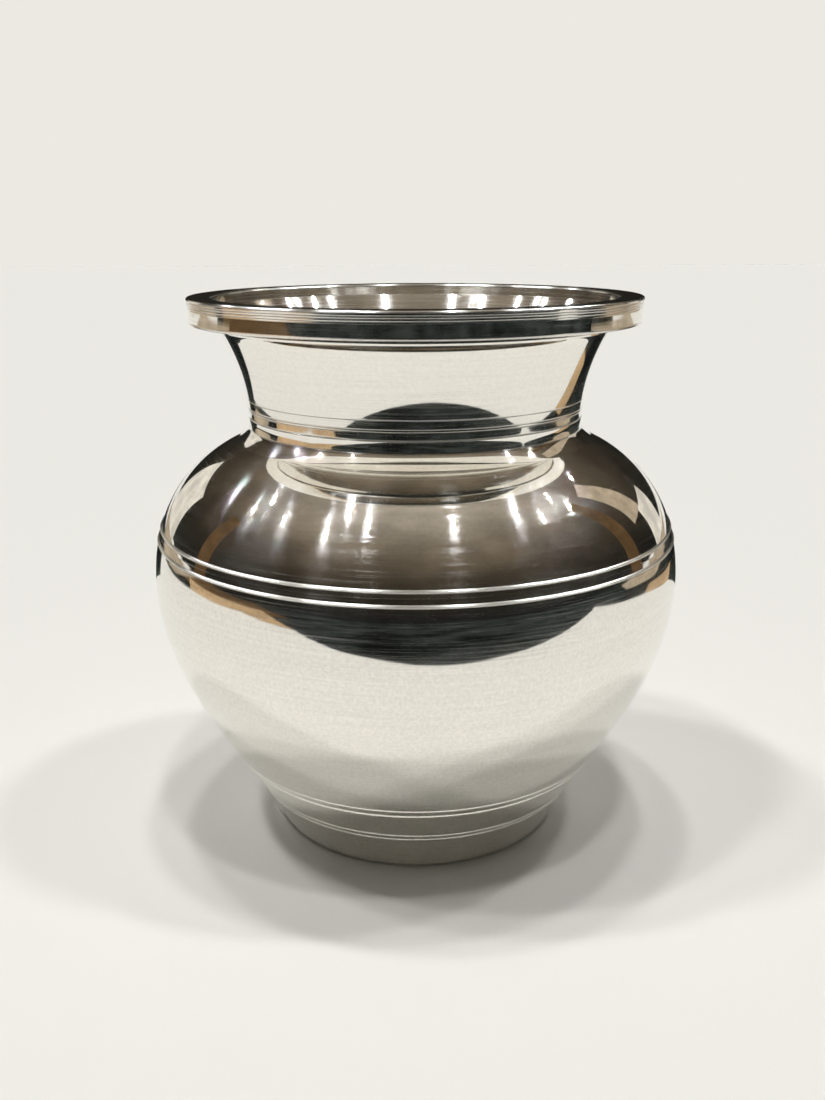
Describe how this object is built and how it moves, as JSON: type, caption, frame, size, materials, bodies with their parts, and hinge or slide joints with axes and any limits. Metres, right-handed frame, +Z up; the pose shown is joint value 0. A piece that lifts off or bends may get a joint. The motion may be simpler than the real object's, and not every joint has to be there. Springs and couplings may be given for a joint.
{
  "type": "lota",
  "caption": "Plain silver lota: round-bellied water pot with a tapered flat base, raised belly wires, a flared neck and a flat-topped rim ring, open at the mouth.",
  "frame": {"origin": "centre of the flat base, on the surface the lota stands on", "axes": "+Z up along the turning axis, from the base to the mouth"},
  "size_m": [0.125, 0.125, 0.128],
  "materials": {
    "body_silver": "polished silver with fine lathe lines round the axis",
    "neck_silver": "polished silver with fine lathe lines round the axis",
    "rim_silver": "bright polished silver",
    "wire_silver": "bright drawn silver wire"
  },
  "bodies": {
    "root": {"lower_bowl": "body_silver", "shoulder": "body_silver", "lower_belly_wire": "wire_silver", "upper_belly_wire": "wire_silver", "neck": "neck_silver", "rim_ring": "rim_silver"}
  },
  "joints": []
}
